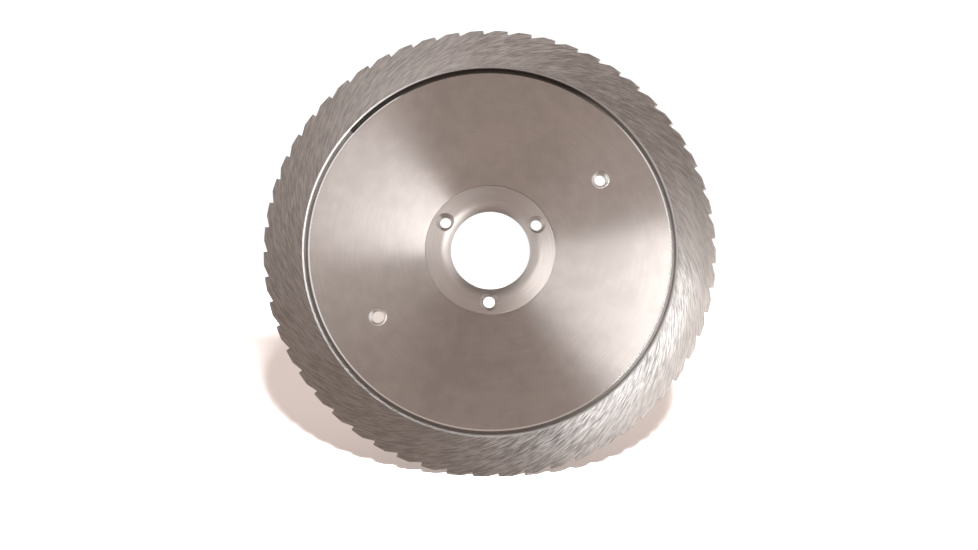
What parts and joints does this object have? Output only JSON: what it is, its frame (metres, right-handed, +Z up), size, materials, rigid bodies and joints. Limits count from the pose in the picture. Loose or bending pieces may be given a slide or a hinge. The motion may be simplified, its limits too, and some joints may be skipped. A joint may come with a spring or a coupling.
{
  "type": "toothed slicer blade",
  "caption": "Dished round steel slicer blade with a saw-toothed rim, a ring groove, a recessed bored hub with three countersunk screw holes, and two bushed holes in the dish.",
  "frame": {"origin": "centre of the bore, in the plane of the hub's rear seat face", "axes": "+Z up, Y along the spin axis with the hollow front face towards -Y, +X to the right as seen from the front"},
  "size_m": [0.22, 0.0158, 0.22],
  "materials": {
    "toothed_ring": "coarse arc-ground",
    "dish": "fine concentric brushing",
    "hub_ring": "satin, fine turned",
    "bushes": "bright turned"
  },
  "bodies": {
    "root": {"toothed_ring": "toothed_ring", "dish": "dish", "hub_ring": "hub_ring", "bush_upper": "bushes", "bush_lower": "bushes"}
  },
  "joints": []
}
